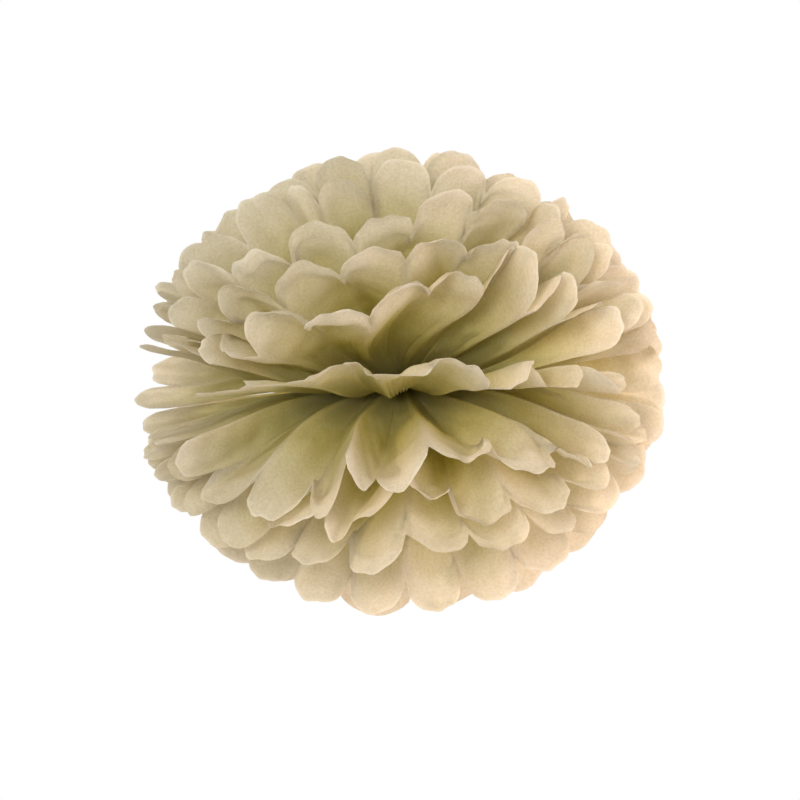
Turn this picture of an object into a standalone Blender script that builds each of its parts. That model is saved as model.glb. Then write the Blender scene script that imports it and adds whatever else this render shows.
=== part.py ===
"""Tissue paper pom pom: pleated sheets tied at the middle and teased open. Metres, +Z up."""
import math

import bmesh
import bpy
import numpy as np
from mathutils.bvhtree import BVHTree

# The paper as it is cut and folded
PLEAT = 0.039              # width of a pleat, fold to fold
REACH = 0.165              # from the tie to the tip of a petal
LOBE = 0.5 * PLEAT         # each pleat's end is cut to a half round
FOLD_REACH = REACH - LOBE
PAPER = 0.00015            # thickness

# The waist, where the wire holds all sheets
WAIST_WIDTH = 0.026
WAIST_STEP = 0.0012        # from one sheet to the next
WAIST_TURN = 0.005         # length over which a sheet turns out of the tie
WAIST_FOLD = 0.00195       # paper left between two folds where the wire flattens them
NECK = 0.002               # half the length held flat under the wire
NECK_FADE = 0.022          # distance in which the two halves of the ball close up again
GATHER_END = 0.085         # where the pleats have their whole width again

# Near the tie all sheets share the folds of one strip, and further out each goes its own way
FREE_START = 0.045
FREE_END = 0.140
COMMON_MARGIN = 1.5        # degrees left free at both ends of the common fan

# The teased petals
END_GAIN = 0.05            # how much further the pleats at both ends of a fan reach
DEEPEST_CUP = 0.5          # depth of a hollow petal as a share of its width
OUTWARD_CUP = 0.0031       # how far a petal's end bellies out
TIP_CURL = 0.0099          # how far a petal's tip curls to the front or back
MOST_SLACK = 0.35          # as a share of a facet's width
BACK_HOLLOWS = 0.7         # share of the petals that are hollow towards the front

# The furthest that a fold or hollow swings out of its sheet, in steps of the stack: towards the
# middle of the ball, where there is room, and towards the front or back, where there is none
INWARD_SWING = 0.35
OUTWARD_SWING = 1.2
LEAST_RADIUS = 0.004       # swings are measured at least this far out
FLAT_NEAR = 0.012          # nearer to the tie the sheets move straight to the front and back

# The wire
WIRE_RADIUS = 0.0005
WIRE_CLEARANCE = 0.0007
TWIST_RADIUS = 0.00062
TWIST_PITCH = 0.0045
TWIST_LENGTH = 0.011
TWIST_START = 0.0016       # from the loop to the first crossing of the ends
TWIST_POINTS = 16
LOOP_POINTS = 36
LOOP_SQUARENESS = 8.0      # 2 would be an ellipse

# Leans in degrees: 0 is straight out from the tie, 90 points to the front.
# The upper (1) and lower (-1) halves meet at a plane in front and at one behind.
FRONT_LIMIT = {1: 79.0, -1: 97.0}
BACK_LIMIT = -83.0
FRONT_ROOM = 1.5
BACK_ROOM = 3.0
TURN_BEYOND = 0.16         # radians that a fan may reach past half a turn at either end
STACK_LIMIT = 2.2
SEARCH_STEPS = 60
END_SPREAD = 0.8           # how far the ends of the fans are spread from front to back
ROLL = math.radians(4.0)   # the strip lies a little lower at the left

# Each half sheet is a fan. Its folds are given as angles from the right end to the left end.
# Its lean is given at the seven stations, also from right to left. The front sheet is first.
STATIONS = (20.0, 45.0, 70.0, 90.0, 110.0, 135.0, 160.0)
UPPER = (
    ((36, 42, 48, 53, 58, 63, 69, 82, 96.5, 112, 126, 133, 139, 145), (86, 66, 61, 70, 77, 82, 88)),
    ((28, 35, 42, 50, 61, 74, 89, 105, 121, 133, 139, 144, 149, 154), (70, 46, 52, 58, 64, 72, 80)),
    ((20, 28, 36, 42, 49, 57, 71, 86, 101, 117, 132, 143, 152, 160), (44, 30, 37, 46, 51, 52, 62)),
    ((8, 20, 33, 47, 54, 68, 82, 97, 111, 117, 131, 145, 151, 155), (20, 16, 22, 29, 30, 32, 34)),
    ((-3, 11, 26, 41, 55, 69, 84, 98, 112, 127, 141, 154, 159, 164), (-2, 3, 10, 14, 14, 10, 4)),
)
LOWER = (
    ((36, 41, 46, 51, 58, 69, 82, 97, 103, 117, 127, 133, 139, 145), (92, 92, 94, 97, 96, 90, 86)),
    ((27, 33, 39, 45, 52, 68, 83, 96, 102, 111, 126, 139, 147, 154), (76, 70, 71, 70, 63, 58, 66)),
    ((20, 27, 36, 47, 63, 78, 90, 102, 108, 122, 136, 146, 154, 162), (56, 54, 58, 60, 50, 42, 48)),
    ((7, 18, 31, 44, 58, 73, 89, 103, 117, 130, 143, 153, 158, 162), (36, 38, 44, 46, 34, 27, 28)),
    ((4, 17, 31, 45, 60, 75, 89, 103, 117, 131, 145, 158, 164, 169), (14, 18, 22, 22, 18, 12, 10)),
)
# The sheets behind are teased more evenly. Margins are those of the upper fan, right and left.
UPPER_BACK = (-8.0, -24.0, -40.0, -56.0, -72.0)
LOWER_BACK = (0.0, -17.0, -35.0, -53.0, -71.0)
BACK_MARGIN = {1: ((4.0, 14.0), (7.0, 19.0), (15.0, 24.0), (23.0, -12.0), (32.0, 28.0)),
               -1: ((-3.0, 7.0), (7.0, 12.0), (15.0, 18.0), (23.0, 14.0), (32.0, 24.0))}
LEFT_END = 4               # pleats at the left end, hardly opened in the nearer back sheets
LEFT_OPENING = (0.4, 0.4, 0.4, 1.0, 1.0)
OPENING_SPREAD = 0.10      # how unevenly the pleats of the back sheets are opened
SHUT_PLEAT = 0.45          # two neighbouring pleats of each back sheet stay nearly shut
END_PLEAT = 0.8            # the end pleats open a little less
LEAN_WAVE = 4.0            # degrees
LEAN_SPREAD = 1.5          # degrees

SHEETS = len(UPPER) + len(UPPER_BACK)
PLEATS = len(UPPER[0][0]) - 1
STACK_END = 0.84
STACK = np.arctanh(np.linspace(STACK_END, -STACK_END, SHEETS))

# The folding lattice: columns in a pleat, rows in a half, and the rows kept in the solid
COLUMNS = 4
ROWS = 24
KEPT_ROWS = (0, 3, 11, 24)
KNOTS = np.arange(PLEATS + 1)
PLACE = np.linspace(0.0, PLEATS, PLEATS * COLUMNS + 1)
OWN_PLEAT = np.minimum(PLACE.astype(int), PLEATS - 1)
PART = PLACE - OWN_PLEAT
ACROSS = 2.0 * PART - 1.0
FIRST_SEED = 300

# Teasing: touching sheets are pushed apart a little at a time until there is room between them
ROOM = 0.00035
PUSH = 0.0004
ROUNDS = 120
FOLD_ROUNDS = 30           # a sheet's own folds are only eased off each other at the start
NEIGHBOURS = 5             # sheets further apart in the stack never meet
WAIST_HOLD = 0.02          # share of a push that moves the paper under the wire

TISSUE_COLOUR = (0.62, 0.53, 0.36)
WIRE_COLOUR = (0.56, 0.56, 0.55)

SMALL = 1e-3               # step for slopes


def unit(vectors):
    return vectors / np.maximum(np.linalg.norm(vectors, axis=-1, keepdims=True), 1e-12)


def ease(x, start, end):
    share = np.clip((x - start) / (end - start), 0.0, 1.0)
    return share * share * (3.0 - 2.0 * share)


def rolled(points, angle):
    """The points turned about the Y axis, the right side up for a positive angle."""
    out = points.copy()
    out[..., 0] = points[..., 0] * math.cos(angle) - points[..., 2] * math.sin(angle)
    out[..., 2] = points[..., 0] * math.sin(angle) + points[..., 2] * math.cos(angle)
    return out


def fold_plan(sheet, side, dice):
    """Angle of each fold of a fan and the lean at each of them, in degrees."""
    table = UPPER if side > 0 else LOWER
    if sheet < len(table):
        folds, lean = table[sheet]
        folds = np.array(folds, float)
        lean = np.interp(folds, STATIONS, lean)
    else:
        behind = sheet - len(table)
        opening = 1.0 + OPENING_SPREAD * dice.standard_normal(PLEATS)
        shut = dice.integers(2, PLEATS - 3)
        opening[shut:shut + 2] *= SHUT_PLEAT
        opening[[0, -1]] *= END_PLEAT
        opening[-LEFT_END:] *= LEFT_OPENING[behind]
        share = np.concatenate([[0.0], np.cumsum(opening)]) / opening.sum()
        right, left = BACK_MARGIN[side][behind] * dice.uniform(0.8, 1.2, 2)
        folds = right + share * (180.0 - right - left)
        middle = (UPPER_BACK if side > 0 else LOWER_BACK)[behind]
        lean = middle + LEAN_WAVE * np.sin(2.0 * np.radians(folds) + dice.uniform(0.0, 6.28))
    return folds, lean + LEAN_SPREAD * dice.standard_normal(PLEATS + 1)


def direction(turn, stack, side):
    """Way out from the tie: turn goes from right to left, stack from the back to the front."""
    middle = 0.5 * (FRONT_LIMIT[side] + BACK_LIMIT)
    half = 0.5 * (FRONT_LIMIT[side] - BACK_LIMIT)
    level = np.tanh(stack)
    tilt = np.radians(middle + half * level)
    return unit(np.stack([
        np.cos(turn),
        -np.sin(turn) * np.sin(tilt) - END_SPREAD * level * np.cos(turn) ** 2,
        side * np.sin(turn) * np.cos(tilt),
    ], -1))


def find_place(folds, lean, side):
    """Turn and stack of the ways out that have the given fold angles and leans."""
    lean = np.radians(np.clip(lean, BACK_LIMIT + BACK_ROOM, FRONT_LIMIT[side] - FRONT_ROOM))
    folds = np.radians(folds)
    aim = np.stack([np.cos(folds), -np.sin(folds) * np.sin(lean),
                    side * np.sin(folds) * np.cos(lean)], -1)
    aim = rolled(aim, -ROLL)
    turn, stack = folds.copy(), lean.copy()
    step, half_step = 1e-4, 0.5
    for _ in range(SEARCH_STEPS):
        here = direction(turn, stack, side)
        by_turn = (direction(turn + step, stack, side) - here) / step
        by_stack = (direction(turn, stack + step, side) - here) / step
        miss = aim - here
        aa = (by_turn ** 2).sum(-1) + 1e-6
        ab = (by_turn * by_stack).sum(-1)
        bb = (by_stack ** 2).sum(-1) + 1e-3
        ra, rb = (by_turn * miss).sum(-1), (by_stack * miss).sum(-1)
        area = aa * bb - ab ** 2
        turn = turn + half_step * (bb * ra - ab * rb) / area
        turn = np.clip(turn, -TURN_BEYOND, math.pi + TURN_BEYOND)
        stack = np.clip(stack + half_step * (aa * rb - ab * ra) / area, -STACK_LIMIT, STACK_LIMIT)
    return turn, stack


def at_columns(by_fold):
    """A value given at the folds, read at every column of the lattice."""
    return by_fold[..., OWN_PLEAT] * (1.0 - PART) + by_fold[..., OWN_PLEAT + 1] * PART


def zigzag(chord, paper):
    """How far each fold stands to the front or back, so that the paper keeps its width."""
    depth = np.sqrt(np.maximum(paper ** 2 - chord ** 2, 0.0))
    edged = np.concatenate([depth[:, :1], depth, depth[:, -1:]], 1)
    return 0.5 * np.minimum(edged[:, :-1], edged[:, 1:]) * np.where(KNOTS % 2, -1.0, 1.0)


def petal_cup(run, chord, paper, stand, dice):
    """Depth of each pleat's hollow: what width the zigzag leaves over is taken up by a curve."""
    facet = np.sqrt(chord ** 2 + (stand[:, 1:] - stand[:, :-1]) ** 2)
    slack = np.clip(paper / np.maximum(facet, 1e-6) - 1.0, 0.0, MOST_SLACK)
    way = np.where(dice.random(PLEATS) < BACK_HOLLOWS, -1.0, 1.0)
    cup = facet * np.sqrt(3.0 / 8.0 * slack) * way
    belly = OUTWARD_CUP * dice.uniform(0.3, 1.2, PLEATS)
    cup = cup - belly * ease(run[:, COLUMNS * KNOTS[1:]], 0.05, 0.15)
    return np.clip(cup, -DEEPEST_CUP * chord, DEEPEST_CUP * chord)


def fan(sheet, side):
    """One half of a folded sheet: its points, and the way to the front at each of them."""
    dice = np.random.default_rng(FIRST_SEED + 2 * sheet + (side > 0))
    fold_turn, fold_stack = find_place(*fold_plan(sheet, side, dice), side)
    tip = FOLD_REACH + LOBE * np.sqrt(np.maximum(1.0 - ACROSS ** 2, 0.0))
    run = np.linspace(0.0, 1.0, ROWS + 1)[:, None] * tip[None, :]
    free = ease(run, FREE_START, FREE_END)
    common = np.radians(np.linspace(COMMON_MARGIN, 180.0 - COMMON_MARGIN, PLEATS + 1))
    turn = at_columns(common) * (1.0 - free) + at_columns(fold_turn) * free
    base = STACK[sheet] * (1.0 - free) + at_columns(fold_stack) * free
    waist = np.exp(-run / WAIST_TURN)
    straight = WAIST_TURN * (1.0 - waist)
    radius = (run - straight) * (1.0 + END_GAIN * np.cos(turn) ** 2)
    waist_x = WAIST_WIDTH * (0.5 - PLACE / PLEATS)[None, :]

    line = direction(turn, base, side) * radius[..., None]
    line[..., 0] += waist_x
    at_fold = COLUMNS * KNOTS
    chord = np.linalg.norm(line[:, at_fold[1:]] - line[:, at_fold[:-1]], axis=-1)
    gather = ease(run[:, at_fold[:-1]], 0.0, GATHER_END)
    paper = WAIST_FOLD + (PLEAT - WAIST_FOLD) * gather
    stand = zigzag(chord, paper)
    cup = petal_cup(run, chord, paper, stand, dice)
    offset = at_columns(stand) + cup[:, OWN_PLEAT] * (1.0 - ACROSS ** 2)
    curl = TIP_CURL * dice.standard_normal(PLEATS)[OWN_PLEAT]
    offset = offset + curl * ease(run, 0.5 * REACH, 1.1 * REACH) ** 2

    # Offsets are taken as a swing in the stack, so that neighbouring sheets can't cross.
    level = np.zeros_like(base)
    own = np.linalg.norm(direction(turn, base + SMALL, side) - direction(turn, base, side), axis=-1)
    shared = np.linalg.norm(direction(turn, level + SMALL, side) - direction(turn, level, side), axis=-1)
    lever = np.maximum(radius, LEAST_RADIUS) * (own * free + shared * (1.0 - free)) / SMALL
    inward = np.where(base > 0.0, -1.0, 1.0)
    swing = offset / lever
    swing = np.where(swing * inward > INWARD_SWING, inward * INWARD_SWING, swing)
    swing = np.clip(swing, -OUTWARD_SWING, OUTWARD_SWING) * (1.0 - waist)
    way = direction(turn, base + swing, side)
    points = way * radius[..., None]
    points[..., 0] += waist_x
    points[..., 1] += (sheet - 0.5 * (SHEETS - 1)) * WAIST_STEP - waist * at_columns(stand)
    points[..., 2] += side * (NECK + straight) * np.exp(-radius / NECK_FADE)

    front = unit(direction(turn, base + swing + SMALL, side) - way)
    near = np.exp(-(run / FLAT_NEAR) ** 2)[..., None]
    front = unit(front * (1.0 - near) + np.array([0.0, -1.0, 0.0]) * near)
    return rolled(points, ROLL), rolled(front, ROLL)


def whole_sheet(sheet):
    """Both fans of a sheet, as one lattice from the lower to the upper end."""
    upper, upper_front = fan(sheet, 1)
    lower, lower_front = fan(sheet, -1)
    return np.concatenate([lower[::-1], upper]), np.concatenate([lower_front[::-1], upper_front])


def flat_sheet():
    """The sheet laid out: two cells a pleat, and an extra point in each round end's edges."""
    kept = [ROWS - r for r in reversed(KEPT_ROWS)] + [ROWS + 1 + r for r in KEPT_ROWS]
    bm = bmesh.new()
    bmesh.ops.create_grid(bm, x_segments=2 * PLEATS, y_segments=len(kept) - 1, size=1.0)
    ends = [e for e in bm.edges if all(abs(v.co.y) > 0.99 for v in e.verts)]
    bmesh.ops.subdivide_edges(bm, edges=ends, cuts=1)
    bmesh.ops.triangulate(bm, faces=bm.faces[:])
    bmesh.ops.reverse_faces(bm, faces=bm.faces[:])
    bm.verts.index_update()
    rows = [kept[round((v.co.y + 1.0) * 0.5 * (len(kept) - 1))] for v in bm.verts]
    columns = [round((v.co.x + 1.0) * 0.5 * PLEATS * COLUMNS) for v in bm.verts]
    return bm, np.array(rows), np.array(columns)


def thick_tree(points, faces, half):
    """Search tree of both faces of the paper, each set off by half the thickness and room."""
    tri = points[faces]
    normal = np.cross(tri[:, 1] - tri[:, 0], tri[:, 2] - tri[:, 0])
    at_point = np.zeros_like(points)
    for corner in range(3):
        np.add.at(at_point, faces[:, corner], normal)
    at_point = unit(at_point) * half
    both = np.concatenate([points + at_point, points - at_point])
    polys = np.concatenate([faces, faces + len(points)])
    return BVHTree.FromPolygons(both.tolist(), polys.tolist(), all_triangles=True)


def spread(push, first, second):
    """A push shared out over two rings of neighbouring points, so that the paper bends."""
    for share in (0.6, 0.4):
        more = push.copy()
        np.maximum.at(more, first, share * push[second])
        np.maximum.at(more, second, share * push[first])
        push = more
    return push


def push_neighbours(trees, faces, forward, backward):
    """Where two sheets touch, the front one goes forward and the back one back."""
    hits = 0
    for front in range(SHEETS):
        for behind in range(front + 1, min(front + NEIGHBOURS, SHEETS)):
            pairs = np.array(trees[front].overlap(trees[behind]), int).reshape(-1, 2) % len(faces)
            forward[front][faces[pairs[:, 0]]] = PUSH
            backward[behind][faces[pairs[:, 1]]] = PUSH
            hits += len(pairs)
    return hits


def push_folds(trees, faces, forward, backward):
    """Where a sheet touches itself, each place goes away from the side it touches with."""
    hits = 0
    for sheet in range(SHEETS):
        pairs = np.array(trees[sheet].overlap(trees[sheet]), int).reshape(-1, 2)
        corners = faces[pairs % len(faces)]
        apart = ~(corners[:, 0, :, None] == corners[:, 1, None, :]).any((1, 2))
        for own in pairs[apart].T:
            on_front = own < len(faces)
            backward[sheet][faces[own[on_front]]] = 0.5 * PUSH
            forward[sheet][faces[own[~on_front] - len(faces)]] = 0.5 * PUSH
        hits += apart.sum()
    return hits


def tease_apart(points, fronts, faces, edges, ease_of_moving):
    """Push the sheets apart in small steps until none touches another."""
    half = 0.5 * (PAPER + ROOM)
    trees = [thick_tree(p, faces, half) for p in points]
    for turn in range(ROUNDS):
        forward = np.zeros((SHEETS, len(points[0])))
        backward = np.zeros_like(forward)
        hits = push_neighbours(trees, faces, forward, backward)
        if turn < FOLD_ROUNDS:
            hits += push_folds(trees, faces, forward, backward)
        if not hits:
            break
        for i in range(SHEETS):
            push = spread(forward[i], *edges.T) - spread(backward[i], *edges.T)
            if np.any(push):
                points[i] = points[i] + fronts[i] * (push * ease_of_moving)[:, None]
                trees[i] = thick_tree(points[i], faces, half)
    return points


def material(name, colour, roughness, metallic):
    mat = bpy.data.materials.new(name)
    mat.use_nodes = True
    shader = mat.node_tree.nodes["Principled BSDF"]
    shader.inputs["Base Color"].default_value = (*colour, 1.0)
    shader.inputs["Roughness"].default_value = roughness
    shader.inputs["Metallic"].default_value = metallic
    return mat


def paper_sheet(number, layout, points, home):
    """One sheet: the laid-out mesh folded to its points and given the thickness of paper."""
    mesh = bpy.data.meshes.new(f"tissue_sheet_{number:02d}")
    folded = layout.copy()
    folded.verts.ensure_lookup_table()
    for vert, point in zip(folded.verts, points):
        vert.co = point
    folded.normal_update()
    folded.to_mesh(mesh)
    folded.free()
    sheet = bpy.data.objects.new(mesh.name, mesh)
    home.objects.link(sheet)
    thickness = sheet.modifiers.new("paper", "SOLIDIFY")
    thickness.thickness = PAPER
    thickness.offset = 0.0
    mesh.materials.append(material(f"tissue_paper_{number:02d}", TISSUE_COLOUR, 0.85, 0.0))


def twisted_end(start, way):
    """Points of one wire end, wound round the other as they run out behind the waist."""
    points = []
    for i in range(1, TWIST_POINTS + 1):
        out = TWIST_LENGTH * i / TWIST_POINTS
        angle = 2.0 * math.pi * out / TWIST_PITCH
        points.append((way * TWIST_RADIUS * math.cos(angle), start + out,
                       way * TWIST_RADIUS * math.sin(angle)))
    return points


def wire_loop(half_width, half_depth):
    """Points of the loop: a rectangle with well rounded corners, from right to left of the back."""
    points = []
    for i in range(LOOP_POINTS + 1):
        angle = math.pi / 2.0 - 2.0 * math.pi * (i + 0.5) / (LOOP_POINTS + 1)
        c, s = math.cos(angle), math.sin(angle)
        power = 2.0 / LOOP_SQUARENESS
        points.append((half_width * math.copysign(abs(c) ** power, c),
                       half_depth * math.copysign(abs(s) ** power, s), 0.0))
    return points


def tie_wire(waist_half_width, waist_half_depth, home):
    """One length of wire: a twisted end, the loop round the waist, and back along the twist."""
    half_width = waist_half_width + WIRE_CLEARANCE + WIRE_RADIUS
    half_depth = waist_half_depth + WIRE_CLEARANCE + WIRE_RADIUS
    start = half_depth + TWIST_START
    points = twisted_end(start, 1.0)[::-1] + wire_loop(half_width, half_depth) + twisted_end(start, -1.0)
    curve = bpy.data.curves.new("tie_wire", "CURVE")
    curve.dimensions = "3D"
    curve.bevel_depth = WIRE_RADIUS
    curve.bevel_resolution = 1
    curve.use_fill_caps = True
    line = curve.splines.new("POLY")
    line.points.add(len(points) - 1)
    for spot, point in zip(line.points, rolled(np.array(points), ROLL)):
        spot.co = (*point, 1.0)
    line.use_smooth = True
    curve.materials.append(material("florist_wire", WIRE_COLOUR, 0.35, 1.0))
    home.objects.link(bpy.data.objects.new("tie_wire", curve))


for old in list(bpy.data.objects):
    bpy.data.objects.remove(old)
home = bpy.data.collections.new("tissue_pom_pom")
bpy.context.scene.collection.children.link(home)

layout, rows, columns = flat_sheet()
faces = np.array([[v.index for v in f.verts] for f in layout.faces])
edges = np.array([[v.index for v in e.verts] for e in layout.edges])
lattices = [whole_sheet(sheet) for sheet in range(SHEETS)]
folded = [points[rows, columns] for points, _ in lattices]
fronts = [front[rows, columns] for _, front in lattices]
under_wire = (rows == ROWS) | (rows == ROWS + 1)
folded = tease_apart(folded, fronts, faces, edges, np.where(under_wire, WAIST_HOLD, 1.0))
for sheet, points in enumerate(folded):
    paper_sheet(sheet + 1, layout, points, home)
layout.free()

waist = np.abs(np.concatenate([rolled(points, -ROLL)[under_wire] for points in folded]))
tie_wire(waist[:, 0].max() + 0.5 * PAPER, waist[:, 1].max() + 0.5 * PAPER, home)
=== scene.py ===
"""Tissue paper pom pom: finely folded sheets, tissue and wire finishes, light and camera."""
import math

import bmesh
import bpy
import numpy as np
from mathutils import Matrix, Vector
from mathutils.bvhtree import BVHTree


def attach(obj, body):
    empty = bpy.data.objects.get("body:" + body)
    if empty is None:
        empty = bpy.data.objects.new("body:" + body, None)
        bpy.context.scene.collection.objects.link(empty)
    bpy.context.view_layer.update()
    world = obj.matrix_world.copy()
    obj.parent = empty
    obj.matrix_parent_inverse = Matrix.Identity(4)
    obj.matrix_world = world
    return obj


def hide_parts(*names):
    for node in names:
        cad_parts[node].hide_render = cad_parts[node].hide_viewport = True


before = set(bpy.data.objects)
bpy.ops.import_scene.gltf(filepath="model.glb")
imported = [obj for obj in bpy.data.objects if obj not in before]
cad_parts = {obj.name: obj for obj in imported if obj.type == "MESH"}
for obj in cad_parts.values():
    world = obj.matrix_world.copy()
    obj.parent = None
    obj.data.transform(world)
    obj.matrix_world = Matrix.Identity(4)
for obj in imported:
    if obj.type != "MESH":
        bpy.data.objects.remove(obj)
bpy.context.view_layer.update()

# The paper as it is cut and folded, in metres
PLEAT = 0.039
REACH = 0.165
LOBE = 0.5 * PLEAT
FOLD_REACH = REACH - LOBE
PAPER = 0.00015

# The waist, where the wire holds all sheets
WAIST_WIDTH = 0.026
WAIST_STEP = 0.0012
WAIST_TURN = 0.005
WAIST_FOLD = 0.00195
NECK = 0.002
NECK_FADE = 0.022
GATHER_END = 0.085

# Near the tie all sheets share the folds of one strip, and further out each goes its own way
FREE_START = 0.045
FREE_END = 0.140
COMMON_MARGIN = 1.5

# The teased petals
END_GAIN = 0.05
DEEPEST_CUP = 0.5
OUTWARD_CUP = 0.0031
BELLY_START = 0.05
BELLY_FULL = 0.15
TIP_CURL = 0.0099
MOST_SLACK = 0.35
BACK_HOLLOWS = 0.7

# The furthest that a fold or hollow swings out of its sheet, in steps of the stack
INWARD_SWING = 0.35
OUTWARD_SWING = 1.2
LEAST_RADIUS = 0.004
FLAT_NEAR = 0.012

# The wire
WIRE_RADIUS = 0.0005
WIRE_CLEARANCE = 0.0007
TWIST_RADIUS = 0.00062
TWIST_PITCH = 0.0045
TWIST_LENGTH = 0.011
TWIST_START = 0.0016
TWIST_POINTS = 60
LOOP_POINTS = 120
LOOP_SQUARENESS = 8.0

# Leans in degrees: 0 is straight out from the tie, 90 points to the front
FRONT_LIMIT = {1: 79.0, -1: 97.0}
BACK_LIMIT = -83.0
FRONT_ROOM = 1.5
BACK_ROOM = 3.0
TURN_BEYOND = 0.16
STACK_LIMIT = 2.2
SEARCH_STEPS = 60
END_SPREAD = 0.8
ROLL = math.radians(4.0)

# Fold angles of each fan from its right end to its left end, and its lean at the stations
STATIONS = (20.0, 45.0, 70.0, 90.0, 110.0, 135.0, 160.0)
UPPER = (
    ((36, 42, 48, 53, 58, 63, 69, 82, 96.5, 112, 126, 133, 139, 145), (86, 66, 61, 70, 77, 82, 88)),
    ((28, 35, 42, 50, 61, 74, 89, 105, 121, 133, 139, 144, 149, 154), (70, 46, 52, 58, 64, 72, 80)),
    ((20, 28, 36, 42, 49, 57, 71, 86, 101, 117, 132, 143, 152, 160), (44, 30, 37, 46, 51, 52, 62)),
    ((8, 20, 33, 47, 54, 68, 82, 97, 111, 117, 131, 145, 151, 155), (20, 16, 22, 29, 30, 32, 34)),
    ((-3, 11, 26, 41, 55, 69, 84, 98, 112, 127, 141, 154, 159, 164), (-2, 3, 10, 14, 14, 10, 4)),
)
LOWER = (
    ((36, 41, 46, 51, 58, 69, 82, 97, 103, 117, 127, 133, 139, 145), (92, 92, 94, 97, 96, 90, 86)),
    ((27, 33, 39, 45, 52, 68, 83, 96, 102, 111, 126, 139, 147, 154), (76, 70, 71, 70, 63, 58, 66)),
    ((20, 27, 36, 47, 63, 78, 90, 102, 108, 122, 136, 146, 154, 162), (56, 54, 58, 60, 50, 42, 48)),
    ((7, 18, 31, 44, 58, 73, 89, 103, 117, 130, 143, 153, 158, 162), (36, 38, 44, 46, 34, 27, 28)),
    ((4, 17, 31, 45, 60, 75, 89, 103, 117, 131, 145, 158, 164, 169), (14, 18, 22, 22, 18, 12, 10)),
)
# The back fans: their middle lean, and the degrees left free at their right and left ends
UPPER_BACK = (-8.0, -24.0, -40.0, -56.0, -72.0)
LOWER_BACK = (0.0, -17.0, -35.0, -53.0, -71.0)
BACK_MARGIN = {1: ((4.0, 14.0), (7.0, 19.0), (15.0, 24.0), (23.0, -12.0), (32.0, 28.0)),
               -1: ((-3.0, 7.0), (7.0, 12.0), (15.0, 18.0), (23.0, 14.0), (32.0, 24.0))}
LEFT_END = 4               # pleats at the left end, hardly opened in the nearer back sheets
LEFT_OPENING = (0.4, 0.4, 0.4, 1.0, 1.0)
OPENING_SPREAD = 0.10
SHUT_PLEAT = 0.45
END_PLEAT = 0.8
LEAN_WAVE = 4.0
LEAN_SPREAD = 1.5

SHEETS = len(UPPER) + len(UPPER_BACK)
PLEATS = len(UPPER[0][0]) - 1
STACK_END = 0.84
STACK = np.arctanh(np.linspace(STACK_END, -STACK_END, SHEETS))
KNOTS = np.arange(PLEATS + 1)
FIRST_SEED = 300

# Teasing, at the coarse lattice
ROOM = 0.00035
PUSH = 0.0004
ROUNDS = 120
FOLD_ROUNDS = 30
NEIGHBOURS = 5
RING_SHARES = (0.6, 0.4)   # of a push, that the first and second ring of points around it take
WAIST_HOLD = 0.02

# What handling leaves on the fine paper: creases, and a wavy cut edge
CREASE_HEIGHT = 0.0022     # two soft creases run out along each petal
CREASE_SIDEWAYS = 0.55     # how far off a petal's middle they lie, as a share of half a petal
CREASE_START = 0.03
CREASE_FULL = 0.11
CREASE_SHARE = 0.7         # width of a crease's flanks, as a share of half a petal
RIM_WAVE = 0.0011
RIM_DEPTH = 0.030          # how far in from the cut edge the waves reach
CRUMPLE_HEIGHT = 0.0020    # flat facets between straight creases that cross a petal at a slant
CRUMPLE_SPACING = (0.018, 0.040)
CRUMPLE_WAYS = 3

# The scissors don't cut every rounded end alike, and their cut strays a little
END_STRAY = 0.0045
CUT_STRAY = 0.0016

# Small folds near the tie take up the paper's width that the pleats don't need there
GATHER_START = 0.004
GATHER_FULL = 0.016
GATHER_THIN = 0.085
GATHER_GONE = 0.135
GATHER_SPREAD = 0.15       # how unevenly deep the small folds are
GATHER_WAVE = 0.011        # and over what run of paper
BULGE_FADE = 0.0045        # the soft paper bulges out of the tie and closes the neck sooner

SMALL = 1e-3


class Lattice:
    """Columns across the pleats and rows from the tie to the tips of a folded half sheet."""

    def __init__(self, columns, rows):
        self.columns = columns
        self.rows = rows
        self.place = np.linspace(0.0, PLEATS, PLEATS * columns + 1)
        self.pleat = np.minimum(self.place.astype(int), PLEATS - 1)
        self.part = self.place - self.pleat
        self.across = 2.0 * self.part - 1.0
        self.at_fold = columns * KNOTS

    def from_folds(self, by_fold):
        """A value given at the folds, read at every column."""
        return by_fold[..., self.pleat] * (1.0 - self.part) + by_fold[..., self.pleat + 1] * self.part


COARSE = Lattice(4, 24)
KEPT_ROWS = (0, 3, 11, 24)
FINE = Lattice(14, 56)


def unit(vectors):
    return vectors / np.maximum(np.linalg.norm(vectors, axis=-1, keepdims=True), 1e-12)


def ease(x, start, end):
    share = np.clip((x - start) / (end - start), 0.0, 1.0)
    return share * share * (3.0 - 2.0 * share)


def rolled(points, angle):
    """The points turned about the Y axis, the right side up for a positive angle."""
    out = points.copy()
    out[..., 0] = points[..., 0] * math.cos(angle) - points[..., 2] * math.sin(angle)
    out[..., 2] = points[..., 0] * math.sin(angle) + points[..., 2] * math.cos(angle)
    return out


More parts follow.
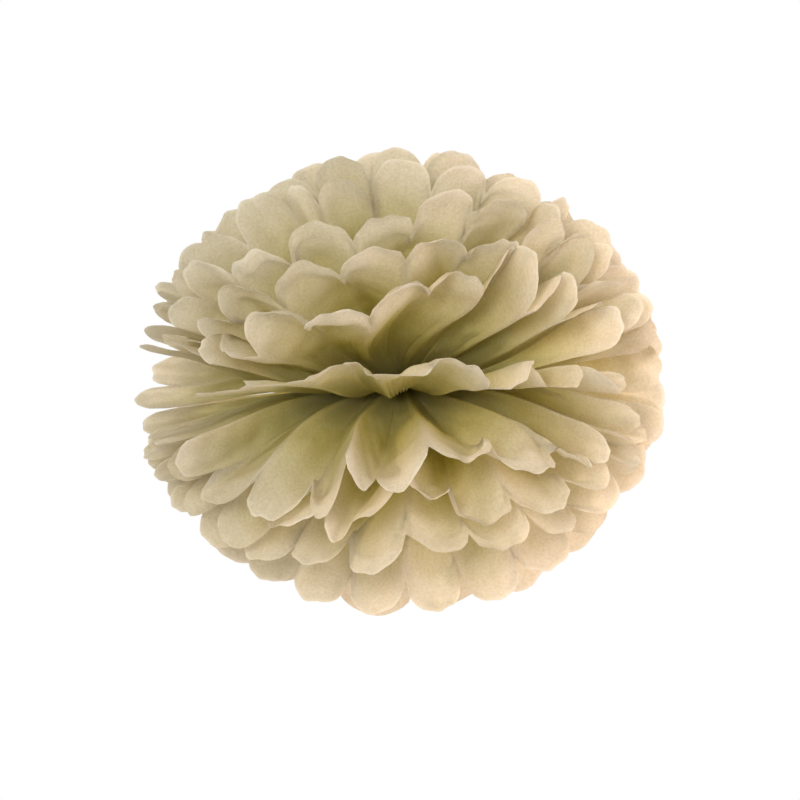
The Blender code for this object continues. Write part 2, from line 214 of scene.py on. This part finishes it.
def fold_plan(sheet, side, dice):
    """Angle of each fold of a fan and the lean at each of them, in degrees."""
    table = UPPER if side > 0 else LOWER
    if sheet < len(table):
        folds, lean = table[sheet]
        folds = np.array(folds, float)
        lean = np.interp(folds, STATIONS, lean)
    else:
        behind = sheet - len(table)
        opening = 1.0 + OPENING_SPREAD * dice.standard_normal(PLEATS)
        shut = dice.integers(2, PLEATS - 3)
        opening[shut:shut + 2] *= SHUT_PLEAT
        opening[[0, -1]] *= END_PLEAT
        opening[-LEFT_END:] *= LEFT_OPENING[behind]
        share = np.concatenate([[0.0], np.cumsum(opening)]) / opening.sum()
        right, left = BACK_MARGIN[side][behind] * dice.uniform(0.8, 1.2, 2)
        folds = right + share * (180.0 - right - left)
        middle = (UPPER_BACK if side > 0 else LOWER_BACK)[behind]
        lean = middle + LEAN_WAVE * np.sin(2.0 * np.radians(folds) + dice.uniform(0.0, 6.28))
    return folds, lean + LEAN_SPREAD * dice.standard_normal(PLEATS + 1)


def direction(turn, stack, side):
    """Way out from the tie: turn goes from right to left, stack from the back to the front."""
    middle = 0.5 * (FRONT_LIMIT[side] + BACK_LIMIT)
    half = 0.5 * (FRONT_LIMIT[side] - BACK_LIMIT)
    level = np.tanh(stack)
    tilt = np.radians(middle + half * level)
    return unit(np.stack([
        np.cos(turn),
        -np.sin(turn) * np.sin(tilt) - END_SPREAD * level * np.cos(turn) ** 2,
        side * np.sin(turn) * np.cos(tilt),
    ], -1))


def find_place(folds, lean, side):
    """Turn and stack of the ways out that have the given fold angles and leans."""
    lean = np.radians(np.clip(lean, BACK_LIMIT + BACK_ROOM, FRONT_LIMIT[side] - FRONT_ROOM))
    folds = np.radians(folds)
    aim = np.stack([np.cos(folds), -np.sin(folds) * np.sin(lean),
                    side * np.sin(folds) * np.cos(lean)], -1)
    aim = rolled(aim, -ROLL)
    turn, stack = folds.copy(), lean.copy()
    step, half_step = 1e-4, 0.5
    for _ in range(SEARCH_STEPS):
        here = direction(turn, stack, side)
        by_turn = (direction(turn + step, stack, side) - here) / step
        by_stack = (direction(turn, stack + step, side) - here) / step
        miss = aim - here
        aa = (by_turn ** 2).sum(-1) + 1e-6
        ab = (by_turn * by_stack).sum(-1)
        bb = (by_stack ** 2).sum(-1) + 1e-3
        ra, rb = (by_turn * miss).sum(-1), (by_stack * miss).sum(-1)
        area = aa * bb - ab ** 2
        turn = turn + half_step * (bb * ra - ab * rb) / area
        turn = np.clip(turn, -TURN_BEYOND, math.pi + TURN_BEYOND)
        stack = np.clip(stack + half_step * (aa * rb - ab * ra) / area, -STACK_LIMIT, STACK_LIMIT)
    return turn, stack


def zigzag(chord, paper):
    """How far each fold stands to the front or back, so that the paper keeps its width."""
    depth = np.sqrt(np.maximum(paper ** 2 - chord ** 2, 0.0))
    edged = np.concatenate([depth[:, :1], depth, depth[:, -1:]], 1)
    return 0.5 * np.minimum(edged[:, :-1], edged[:, 1:]) * np.where(KNOTS % 2, -1.0, 1.0)


def petal_cup(run, chord, paper, stand, dice):
    """Depth of each pleat's hollow: what width the zigzag leaves over is taken up by a curve."""
    facet = np.sqrt(chord ** 2 + (stand[:, 1:] - stand[:, :-1]) ** 2)
    slack = np.clip(paper / np.maximum(facet, 1e-6) - 1.0, 0.0, MOST_SLACK)
    way = np.where(dice.random(PLEATS) < BACK_HOLLOWS, -1.0, 1.0)
    cup = facet * np.sqrt(3.0 / 8.0 * slack) * way
    belly = OUTWARD_CUP * dice.uniform(0.3, 1.2, PLEATS)
    cup = cup - belly * ease(run, BELLY_START, BELLY_FULL)
    return np.clip(cup, -DEEPEST_CUP * chord, DEEPEST_CUP * chord)


def crumple(run, lattice, dice):
    """Facets of paper that hands have pressed: straight sharp creases, each set at its own slant."""
    across = lattice.part * PLEAT
    height = np.zeros_like(run)
    for _ in range(CRUMPLE_WAYS):
        slant = dice.uniform(0.0, math.pi, PLEATS)[lattice.pleat]
        spacing = dice.uniform(*CRUMPLE_SPACING, PLEATS)[lattice.pleat]
        start = dice.uniform(0.0, 6.28, PLEATS)[lattice.pleat]
        along = across * np.cos(slant) + run * np.sin(slant)
        height += np.abs(np.sin(math.pi * along / spacing + start)) - 2.0 / math.pi
    return CRUMPLE_HEIGHT * height * (1.0 - lattice.across ** 4)


def handling(run, tip, lattice, dice):
    """Creases that run out from the tie along each petal, and waves along its cut edge."""
    height = CREASE_HEIGHT * dice.uniform(-1.0, 1.0, (2, PLEATS))
    middle = dice.uniform(-CREASE_SIDEWAYS, CREASE_SIDEWAYS, (2, PLEATS))
    crease = np.zeros_like(run)
    for high, at in zip(height, middle):
        tent = 1.0 - np.abs(lattice.across - at[lattice.pleat]) / CREASE_SHARE
        crease = crease + high[lattice.pleat] * np.maximum(tent, 0.0) * (1.0 - lattice.across ** 2)
    waves = dice.uniform(0.6, 1.6, PLEATS)[lattice.pleat]
    phase = dice.uniform(0.0, 6.28, PLEATS)[lattice.pleat]
    rim = RIM_WAVE * np.sin(2.0 * math.pi * waves * lattice.across + phase)
    near_rim = ease(run - tip[None, :], -RIM_DEPTH, 0.0)
    pressed = (crease + crumple(run, lattice, dice)) * ease(run, CREASE_START, CREASE_FULL)
    return pressed + rim * near_rim * (1.0 - lattice.across ** 4)


def cut_by_hand(sheet, side, lattice):
    """How much longer or shorter than meant the paper is cut, along the rounded ends."""
    dice = np.random.default_rng(FIRST_SEED - 100 + 2 * sheet + (side > 0))
    each_end = END_STRAY * dice.uniform(-1.0, 0.7, PLEATS)[lattice.pleat]
    along_cut = np.convolve(dice.uniform(-1.0, 1.0, lattice.place.size), (0.25, 0.5, 0.25), "same")
    return (each_end + CUT_STRAY * along_cut) * (1.0 - lattice.across ** 6)


def fan(sheet, side, lattice):
    """One half of a folded sheet: its points, the way to the front there, and the paper run."""
    dice = np.random.default_rng(FIRST_SEED + 2 * sheet + (side > 0))
    fold_turn, fold_stack = find_place(*fold_plan(sheet, side, dice), side)
    tip = FOLD_REACH + LOBE * np.sqrt(np.maximum(1.0 - lattice.across ** 2, 0.0))
    if lattice is FINE:
        tip = tip + cut_by_hand(sheet, side, lattice)
    run = np.linspace(0.0, 1.0, lattice.rows + 1)[:, None] * tip[None, :]
    free = ease(run, FREE_START, FREE_END)
    common = np.radians(np.linspace(COMMON_MARGIN, 180.0 - COMMON_MARGIN, PLEATS + 1))
    turn = lattice.from_folds(common) * (1.0 - free) + lattice.from_folds(fold_turn) * free
    base = STACK[sheet] * (1.0 - free) + lattice.from_folds(fold_stack) * free
    waist = np.exp(-run / WAIST_TURN)
    straight = WAIST_TURN * (1.0 - waist)
    radius = (run - straight) * (1.0 + END_GAIN * np.cos(turn) ** 2)
    waist_x = WAIST_WIDTH * (0.5 - lattice.place / PLEATS)[None, :]

    line = direction(turn, base, side) * radius[..., None]
    line[..., 0] += waist_x
    chord = np.linalg.norm(line[:, lattice.at_fold[1:]] - line[:, lattice.at_fold[:-1]], axis=-1)
    gather = ease(run[:, lattice.at_fold[:-1]], 0.0, GATHER_END)
    paper = WAIST_FOLD + (PLEAT - WAIST_FOLD) * gather
    stand = zigzag(chord, paper)
    cup = petal_cup(run[:, lattice.at_fold[1:]], chord, paper, stand, dice)
    offset = lattice.from_folds(stand) + cup[:, lattice.pleat] * (1.0 - lattice.across ** 2)
    curl = TIP_CURL * dice.standard_normal(PLEATS)[lattice.pleat]
    offset = offset + curl * ease(run, 0.5 * REACH, 1.1 * REACH) ** 2
    if lattice is FINE:
        offset = offset + handling(run, tip, lattice, dice)

    level = np.zeros_like(base)
    own = np.linalg.norm(direction(turn, base + SMALL, side) - direction(turn, base, side), axis=-1)
    shared = np.linalg.norm(direction(turn, level + SMALL, side) - direction(turn, level, side), axis=-1)
    lever = np.maximum(radius, LEAST_RADIUS) * (own * free + shared * (1.0 - free)) / SMALL
    inward = np.where(base > 0.0, -1.0, 1.0)
    swing = offset / lever
    swing = np.where(swing * inward > INWARD_SWING, inward * INWARD_SWING, swing)
    swing = np.clip(swing, -OUTWARD_SWING, OUTWARD_SWING) * (1.0 - waist)
    way = direction(turn, base + swing, side)
    points = way * radius[..., None]
    points[..., 0] += waist_x
    points[..., 1] += (sheet - 0.5 * (SHEETS - 1)) * WAIST_STEP - waist * lattice.from_folds(stand)
    fade = BULGE_FADE if lattice is FINE else NECK_FADE
    points[..., 2] += side * (NECK + straight) * np.exp(-radius / fade)

    front = unit(direction(turn, base + swing + SMALL, side) - way)
    near = np.exp(-(run / FLAT_NEAR) ** 2)[..., None]
    front = unit(front * (1.0 - near) + np.array([0.0, -1.0, 0.0]) * near)
    return rolled(points, ROLL), rolled(front, ROLL), run


def whole_sheet(sheet, lattice):
    """Both fans of a sheet, as one lattice from the lower to the upper end."""
    upper = fan(sheet, 1, lattice)
    lower = fan(sheet, -1, lattice)
    points, fronts, run = (np.concatenate([b[::-1], a]) for a, b in zip(upper, lower))
    run[:lattice.rows + 1] *= -1.0
    return points, fronts, run


def gathered(points, fronts, run):
    """The paper with its small folds near the tie, the same ones in every sheet."""
    dice = np.random.default_rng(FIRST_SEED - 1)
    step = np.linalg.norm(points[:, 1:] - points[:, :-1], axis=-1)
    spare = 0.5 * np.sqrt(np.maximum((PLEAT / FINE.columns) ** 2 - step ** 2, 0.0))
    spare = np.concatenate([spare[:, :1], 0.5 * (spare[:, 1:] + spare[:, :-1]), spare[:, -1:]], 1)
    columns = points.shape[1]
    phase = dice.uniform(0.0, 6.28, columns)
    uneven = 1.0 - GATHER_SPREAD * (1.0 + np.sin(np.abs(run) / GATHER_WAVE + phase))
    away = np.abs(run)
    share = ease(away, GATHER_START, GATHER_FULL) * (1.0 - ease(away, GATHER_THIN, GATHER_GONE))
    way = np.where(np.arange(columns) % 2, -1.0, 1.0)
    return points + fronts * (way * spare * uneven * share)[..., None]


def coarse_layout():
    """Rows and columns of the coarse sheet's points, its triangles and its edges."""
    kept = [COARSE.rows - r for r in reversed(KEPT_ROWS)] + [COARSE.rows + 1 + r for r in KEPT_ROWS]
    bm = bmesh.new()
    bmesh.ops.create_grid(bm, x_segments=2 * PLEATS, y_segments=len(kept) - 1, size=1.0)
    ends = [e for e in bm.edges if all(abs(v.co.y) > 0.99 for v in e.verts)]
    bmesh.ops.subdivide_edges(bm, edges=ends, cuts=1)
    bmesh.ops.triangulate(bm, faces=bm.faces[:])
    bmesh.ops.reverse_faces(bm, faces=bm.faces[:])
    bm.verts.index_update()
    rows = np.array([kept[round((v.co.y + 1.0) * 0.5 * (len(kept) - 1))] for v in bm.verts])
    columns = np.array([round((v.co.x + 1.0) * 0.5 * PLEATS * COARSE.columns) for v in bm.verts])
    faces = np.array([[v.index for v in f.verts] for f in bm.faces])
    edges = np.array([[v.index for v in e.verts] for e in bm.edges])
    bm.free()
    return rows, columns, faces, edges, kept


def thick_tree(points, faces, half):
    """Search tree of both faces of the paper, each set off by half the thickness and room."""
    tri = points[faces]
    normal = np.cross(tri[:, 1] - tri[:, 0], tri[:, 2] - tri[:, 0])
    at_point = np.zeros_like(points)
    for corner in range(3):
        np.add.at(at_point, faces[:, corner], normal)
    at_point = unit(at_point) * half
    both = np.concatenate([points + at_point, points - at_point])
    polys = np.concatenate([faces, faces + len(points)])
    return BVHTree.FromPolygons(both.tolist(), polys.tolist(), all_triangles=True)


def spread(push, first, second):
    """A push shared out over two rings of neighbouring points, so that the paper bends."""
    for share in RING_SHARES:
        more = push.copy()
        np.maximum.at(more, first, share * push[second])
        np.maximum.at(more, second, share * push[first])
        push = more
    return push


def push_neighbours(trees, faces, forward, backward):
    """Where two sheets touch, the front one goes forward and the back one back."""
    hits = 0
    for front in range(SHEETS):
        for behind in range(front + 1, min(front + NEIGHBOURS, SHEETS)):
            pairs = np.array(trees[front].overlap(trees[behind]), int).reshape(-1, 2) % len(faces)
            forward[front][faces[pairs[:, 0]]] = PUSH
            backward[behind][faces[pairs[:, 1]]] = PUSH
            hits += len(pairs)
    return hits


def push_folds(trees, faces, forward, backward):
    """Where a sheet touches itself, each place goes away from the side it touches with."""
    hits = 0
    for sheet in range(SHEETS):
        pairs = np.array(trees[sheet].overlap(trees[sheet]), int).reshape(-1, 2)
        corners = faces[pairs % len(faces)]
        apart = ~(corners[:, 0, :, None] == corners[:, 1, None, :]).any((1, 2))
        for own in pairs[apart].T:
            on_front = own < len(faces)
            backward[sheet][faces[own[on_front]]] = 0.5 * PUSH
            forward[sheet][faces[own[~on_front] - len(faces)]] = 0.5 * PUSH
        hits += apart.sum()
    return hits


def tease_apart(points, fronts, faces, edges, ease_of_moving):
    """Push the sheets apart in small steps until none touches another."""
    half = 0.5 * (PAPER + ROOM)
    trees = [thick_tree(p, faces, half) for p in points]
    for turn in range(ROUNDS):
        forward = np.zeros((SHEETS, len(points[0])))
        backward = np.zeros_like(forward)
        hits = push_neighbours(trees, faces, forward, backward)
        if turn < FOLD_ROUNDS:
            hits += push_folds(trees, faces, forward, backward)
        if not hits:
            break
        for i in range(SHEETS):
            push = spread(forward[i], *edges.T) - spread(backward[i], *edges.T)
            if np.any(push):
                points[i] = points[i] + fronts[i] * (push * ease_of_moving)[:, None]
                trees[i] = thick_tree(points[i], faces, half)
    return points


def teased_moves():
    """How far the teasing moves each sheet, on a grid of kept rows and of half pleats."""
    rows, columns, faces, edges, kept = coarse_layout()
    lattices = [whole_sheet(sheet, COARSE) for sheet in range(SHEETS)]
    start = [points[rows, columns] for points, _, _ in lattices]
    fronts = [front[rows, columns] for _, front, _ in lattices]
    under_wire = (rows == COARSE.rows) | (rows == COARSE.rows + 1)
    hold = np.where(under_wire, WAIST_HOLD, 1.0)
    teased = tease_apart(list(start), fronts, faces, edges, hold)
    half_pleats = 2 * PLEATS + 1
    on_grid = columns % 2 == 0
    row_number = np.array([kept.index(r) for r in rows[on_grid]])
    moves = []
    for before, after in zip(start, teased):
        grid = np.zeros((len(kept), half_pleats, 3))
        grid[row_number, columns[on_grid] // 2] = (after - before)[on_grid]
        moves.append(grid)
    waist = np.abs(np.concatenate([rolled(points, -ROLL)[under_wire] for points in teased]))
    return moves, kept, waist.max(0)


def finely_moved(grid, kept):
    """The teasing's moves read at every point of the fine lattice."""
    half = FINE.rows + 1
    share = np.linspace(0.0, 1.0, half)
    coarse_row = np.concatenate([COARSE.rows * (1.0 - share[::-1]), COARSE.rows + 1 + COARSE.rows * share])
    at = np.interp(coarse_row, kept, np.arange(len(kept)))
    low = np.minimum(at.astype(int), len(kept) - 2)
    part = ease(at - low, 0.0, 1.0)[:, None, None]
    by_row = grid[low] * (1.0 - part) + grid[low + 1] * part
    across = 2.0 * FINE.place
    left = np.minimum(across.astype(int), grid.shape[1] - 2)
    part = (across - left)[None, :, None]
    return by_row[:, left] * (1.0 - part) + by_row[:, left + 1] * part


def linear(hex_colour):
    """An sRGB hex colour as the linear values that the shaders take."""
    srgb = [int(hex_colour[i:i + 2], 16) / 255.0 for i in (1, 3, 5)]
    return (*[c / 12.92 if c <= 0.04045 else ((c + 0.055) / 1.055) ** 2.4 for c in srgb], 1.0)


def node(tree, kind, settings=None, values=None, links=None):
    """Adds a shader node with its settings, its sockets' values and the links into it."""
    made = tree.nodes.new(kind)
    for name, value in (settings or {}).items():
        setattr(made, name, value)
    for name, value in (values or {}).items():
        made.inputs[name].default_value = value
    for name, socket in (links or {}).items():
        tree.links.new(socket, made.inputs[name])
    return made


def blank_material(name):
    mat = bpy.data.materials.new(name)
    mat.use_nodes = True
    mat.node_tree.nodes.clear()
    return mat, mat.node_tree


def cream_tissue_paper():
    """Machine-made cream tissue paper, 18 g a square metre.

    The short fibres lie unevenly, so it has a soft cloudy mottle, and it is thin enough to let
    nearly half the light through. Handling leaves fine flat creases and no gloss. Towards the
    tie its colour is painted darker and olive, painted shade for the light that comes through
    several close layers there.
    """
    mat, tree = blank_material("cream_tissue_paper")
    flat = node(tree, "ShaderNodeUVMap", {"uv_map": "flat_sheet"}).outputs["UV"]
    # Fibre clumps are 1 to 2 mm across on real tissue: drawn at 2 mm.
    clumps = node(tree, "ShaderNodeTexNoise", values={"Scale": 1.0 / 0.002, "Detail": 4.0, "Roughness": 0.7},
                  links={"Vector": flat}).outputs["Fac"]
    # Thick and thin places of the web, about 18 mm across.
    web = node(tree, "ShaderNodeTexNoise", values={"Scale": 1.0 / 0.018, "Detail": 2.0},
               links={"Vector": flat}).outputs["Fac"]
    mottle = node(tree, "ShaderNodeMix", {"data_type": "FLOAT"}, {0: 0.35}, {2: clumps, 3: web}).outputs[0]
    # How far out from the tie a place is, from 0 to 1 at the cut edge, and from it the painted shade that
    # deepens towards the tie.
    outward = node(tree, "ShaderNodeAttribute", {"attribute_name": "outward"}).outputs["Fac"]
    depth = node(tree, "ShaderNodeMapRange", {"interpolation_type": "SMOOTHSTEP"},
                 {"From Min": 0.48, "From Max": 1.0, "To Min": 1.0, "To Max": 0.0},
                 {"Value": outward}).outputs[0]

    def toned(pale_low, pale_high, painted_shade_low, painted_shade_high):
        """The mottle's colour at the tips and the darker olive painted shade at the tie, mixed by depth."""
        tip = node(tree, "ShaderNodeMix", {"data_type": "RGBA"},
                   {6: linear(pale_low), 7: linear(pale_high)}, {0: spotted}).outputs[2]
        tie = node(tree, "ShaderNodeMix", {"data_type": "RGBA"},
                   {6: linear(painted_shade_low), 7: linear(painted_shade_high)}, {0: spotted}).outputs[2]
        return node(tree, "ShaderNodeMix", {"data_type": "RGBA"}, links={0: depth, 6: tip, 7: tie}).outputs[2]

    spotted = node(tree, "ShaderNodeMapRange", values={"From Min": 0.33, "From Max": 0.67},
                   links={"Value": mottle}).outputs[0]
    # Flat handling creases, 20 mm apart and longer along the petal, and the crinkle of 2 mm.
    drawn_out = node(tree, "ShaderNodeMapping", values={"Scale": (1.0, 0.4, 1.0)},
                     links={"Vector": flat}).outputs["Vector"]
    creases = node(tree, "ShaderNodeTexVoronoi", {"feature": "DISTANCE_TO_EDGE"}, {"Scale": 1.0 / 0.020},
                   {"Vector": drawn_out}).outputs["Distance"]
    # A crease shows as a thin paler line, and the cut edge is painted paler, a painted highlight where it
    # catches the light.
    on_crease = node(tree, "ShaderNodeMapRange",
                     values={"From Min": 0.0, "From Max": 0.035, "To Min": 0.13, "To Max": 0.0},
                     links={"Value": creases}).outputs[0]
    # Painted highlight along the cut edge.
    painted_rim_highlight = node(tree, "ShaderNodeMapRange",
                   values={"From Min": 0.982, "From Max": 0.995, "To Min": 0.0, "To Max": 0.7},
                   links={"Value": outward}).outputs[0]
    crease_line_and_painted_highlight = node(tree, "ShaderNodeMath", {"operation": "MAXIMUM"},
                     links={0: on_crease, 1: painted_rim_highlight}).outputs[0]
    # Painted shade: the seen colour darkens and turns olive towards the tie.
    face_with_painted_shade = toned("#d2c8ad", "#efe8d9", "#c5bd75", "#dbd497")
    seen = node(tree, "ShaderNodeMix", {"data_type": "RGBA"}, {7: linear("#fbf6ea")},
                {0: crease_line_and_painted_highlight, 6: face_with_painted_shade}).outputs[2]
    # Painted shade: the light let through turns darker and olive towards the tie.
    through = toned("#d8cba8", "#eee4ce", "#d2c966", "#e6dc86")
    crease_line = node(tree, "ShaderNodeMath", {"operation": "MINIMUM"}, {1: 0.10}, {0: creases}).outputs[0]
    creased = node(tree, "ShaderNodeBump", values={"Strength": 0.25, "Distance": 0.0005},
                   links={"Height": crease_line}).outputs["Normal"]
    crinkled = node(tree, "ShaderNodeBump", values={"Strength": 0.12, "Distance": 0.0003},
                    links={"Height": clumps, "Normal": creased}).outputs["Normal"]
    face = node(tree, "ShaderNodeBsdfPrincipled",
                values={"Roughness": 0.9, "Specular IOR Level": 0.2, "IOR": 1.45},
                links={"Base Color": seen, "Normal": crinkled})
    glow = node(tree, "ShaderNodeBsdfTranslucent", links={"Color": through, "Normal": crinkled})
    mix = node(tree, "ShaderNodeMixShader", values={0: 0.5}, links={1: face.outputs[0], 2: glow.outputs[0]})
    node(tree, "ShaderNodeOutputMaterial", links={"Surface": mix.outputs[0]})
    return mat


def annealed_florist_wire():
    """Annealed steel wire, drawn through a die: dark grey and nearly dull, with fine die lines."""
    mat, tree = blank_material("annealed_florist_wire")
    spot = node(tree, "ShaderNodeTexCoord")
    # Die lines are hundredths of a millimetre apart: drawn at 0.3 mm, so that they show.
    lines = node(tree, "ShaderNodeTexNoise", values={"Scale": 1.0 / 0.0003, "Detail": 3.0},
                 links={"Vector": spot.outputs["Object"]})
    rough = node(tree, "ShaderNodeMapRange", values={"To Min": 0.45, "To Max": 0.62},
                 links={"Value": lines.outputs["Fac"]})
    metal = node(tree, "ShaderNodeBsdfPrincipled",
                 values={"Base Color": linear("#5e5a50"), "Metallic": 1.0},
                 links={"Roughness": rough.outputs[0]})
    node(tree, "ShaderNodeOutputMaterial", links={"Surface": metal.outputs[0]})
    return mat


def tissue_sheet(number, moves, kept, finish):
    """One folded sheet as a fine open surface, in place of its solid."""
    points, fronts, run = whole_sheet(number - 1, FINE)
    points = gathered(points + finely_moved(moves, kept), fronts, run)
    rows, columns = run.shape
    index = np.arange(rows * columns).reshape(rows, columns)
    quads = np.stack([index[:-1, :-1], index[1:, :-1], index[1:, 1:], index[:-1, 1:]], -1).reshape(-1, 4)
    name = f"tissue_sheet_{number:02d}_paper"
    mesh = bpy.data.meshes.new(name)
    mesh.from_pydata(points.reshape(-1, 3).tolist(), [], quads.tolist())
    mesh.shade_smooth()
    layer = mesh.uv_layers.new(name="flat_sheet")
    flat = np.stack([np.broadcast_to(FINE.place * PLEAT + number, run.shape), run], -1).reshape(-1, 2)
    corners = np.empty(len(mesh.loops), int)
    mesh.loops.foreach_get("vertex_index", corners)
    layer.data.foreach_set("uv", flat[corners].ravel())
    outward = np.abs(run) / np.abs(run).max(0)
    mesh.attributes.new("outward", "FLOAT", "POINT").data.foreach_set("value", outward.ravel())
    mesh.materials.append(finish)
    piece = bpy.data.objects.new(name, mesh)
    bpy.context.scene.collection.objects.link(piece)
    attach(piece, "root")
    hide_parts(f"tissue_sheet_{number:02d}")
    return piece


def twisted_end(start, way):
    """Points of one wire end, wound round the other as they run out behind the waist."""
    points = []
    for i in range(1, TWIST_POINTS + 1):
        out = TWIST_LENGTH * i / TWIST_POINTS
        angle = 2.0 * math.pi * out / TWIST_PITCH
        points.append((way * TWIST_RADIUS * math.cos(angle), start + out,
                       way * TWIST_RADIUS * math.sin(angle)))
    return points


def wire_loop(half_width, half_depth):
    """Points of the loop: a rectangle with well rounded corners, from right to left of the back."""
    points = []
    for i in range(LOOP_POINTS + 1):
        angle = math.pi / 2.0 - 2.0 * math.pi * (i + 0.5) / (LOOP_POINTS + 1)
        c, s = math.cos(angle), math.sin(angle)
        power = 2.0 / LOOP_SQUARENESS
        points.append((half_width * math.copysign(abs(c) ** power, c),
                       half_depth * math.copysign(abs(s) ** power, s), 0.0))
    return points


def tie_wire(waist, finish):
    """One length of wire: a twisted end, the loop round the waist, and back along the twist."""
    half_width = waist[0] + 0.5 * PAPER + WIRE_CLEARANCE + WIRE_RADIUS
    half_depth = waist[1] + 0.5 * PAPER + WIRE_CLEARANCE + WIRE_RADIUS
    start = half_depth + TWIST_START
    points = twisted_end(start, 1.0)[::-1] + wire_loop(half_width, half_depth) + twisted_end(start, -1.0)
    curve = bpy.data.curves.new("tie_wire_loop", "CURVE")
    curve.dimensions = "3D"
    curve.bevel_depth = WIRE_RADIUS
    curve.bevel_resolution = 4
    curve.use_fill_caps = True
    line = curve.splines.new("POLY")
    line.points.add(len(points) - 1)
    for spot, point in zip(line.points, rolled(np.array(points), ROLL)):
        spot.co = (*point, 1.0)
    line.use_smooth = True
    curve.materials.append(finish)
    wire = bpy.data.objects.new("tie_wire_loop", curve)
    bpy.context.scene.collection.objects.link(wire)
    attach(wire, "root")
    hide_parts("tie_wire")


# The camera looks along +Y from the tie's height, far enough off for the photo's flat perspective
PHOTO_SIZE = 800
PHOTO_SCALE = 0.000673     # metres a pixel at the tie
LIP_ROW = 377              # the lip across the middle hides the tie
TIE_BELOW_LIP = 6
SENSOR_WIDTH = 36.0
CAMERA_DISTANCE = 1.6
LENS_TRIM = 0.985


def photo_camera():
    camera = bpy.data.objects.new("photo_camera", bpy.data.cameras.new("photo_camera"))
    bpy.context.scene.collection.objects.link(camera)
    camera.location = (0.0, -CAMERA_DISTANCE, 0.0)
    camera.rotation_euler = (math.radians(90.0), 0.0, 0.0)
    camera.data.sensor_width = SENSOR_WIDTH
    camera.data.lens = SENSOR_WIDTH * CAMERA_DISTANCE / (PHOTO_SIZE * PHOTO_SCALE) * LENS_TRIM
    camera.data.shift_y = -(PHOTO_SIZE / 2 - LIP_ROW - TIE_BELOW_LIP) / PHOTO_SIZE
    bpy.context.scene.camera = camera


def white_surroundings(strength):
    """A plain world that lights the ball at strength and shows as white."""
    world = bpy.data.worlds.new("white_studio")
    bpy.context.scene.world = world
    world.use_nodes = True
    tree = world.node_tree
    tree.nodes.clear()
    light = node(tree, "ShaderNodeBackground", values={"Color": linear("#ffffff"), "Strength": strength})
    shown = node(tree, "ShaderNodeBackground", values={"Color": linear("#ffffff"), "Strength": 1.0})
    ray = node(tree, "ShaderNodeLightPath")
    straight = node(tree, "ShaderNodeMath", {"operation": "MAXIMUM"},
                    links={0: ray.outputs["Is Camera Ray"], 1: ray.outputs["Is Glossy Ray"]})
    mix = node(tree, "ShaderNodeMixShader",
               links={0: straight.outputs[0], 1: light.outputs[0], 2: shown.outputs[0]})
    node(tree, "ShaderNodeOutputWorld", links={"Surface": mix.outputs[0]})


def soft_lamp(name, place, size, watts, colour):
    lamp = bpy.data.lights.new(name, "AREA")
    lamp.energy = watts
    lamp.size = size
    lamp.color = linear(colour)[:3]
    holder = bpy.data.objects.new(name, lamp)
    bpy.context.scene.collection.objects.link(holder)
    holder.location = place
    holder.rotation_euler = (-Vector(place)).to_track_quat("-Z", "Y").to_euler()


FLOOR_WHITENESS = 0.93     # share of the floor that shows as plain white, the rest takes the shadow


def pale_floor(height):
    """A wide pale floor under the hanging ball, shown as white but for the ball's shadow."""
    mat, tree = blank_material("pale_floor")
    ray = node(tree, "ShaderNodeLightPath")
    matt = node(tree, "ShaderNodeBsdfDiffuse", values={"Color": linear("#d4d4d0")})
    white = node(tree, "ShaderNodeEmission", values={"Color": linear("#ffffff"), "Strength": 1.0})
    share = node(tree, "ShaderNodeMath", {"operation": "MULTIPLY"}, {1: FLOOR_WHITENESS},
                 {0: ray.outputs["Is Camera Ray"]})
    mix = node(tree, "ShaderNodeMixShader",
               links={0: share.outputs[0], 1: matt.outputs[0], 2: white.outputs[0]})
    node(tree, "ShaderNodeOutputMaterial", links={"Surface": mix.outputs[0]})
    bpy.ops.mesh.primitive_plane_add(size=6.0, location=(0.0, 0.0, height))
    floor = bpy.context.active_object
    floor.name = "pale_floor"
    floor.data.materials.append(mat)


moves, kept, waist = teased_moves()
tie_wire(waist, annealed_florist_wire())
tissue = cream_tissue_paper()
for number in range(1, SHEETS + 1):
    tissue_sheet(number, moves[number - 1], kept, tissue)

photo_camera()
white_surroundings(0.72)
pale_floor(-0.9)
soft_lamp("window_right", (1.3, -0.6, -0.25), 0.9, 13.0, "#ffe0d8")
soft_lamp("fill_in_front", (-0.35, -1.5, 0.3), 0.5, 12.0, "#fff9e6")
soft_lamp("light_behind", (0.9, 1.2, -0.2), 1.0, 20.0, "#ffe0d8")
bpy.context.scene.view_settings.view_transform = "Standard"
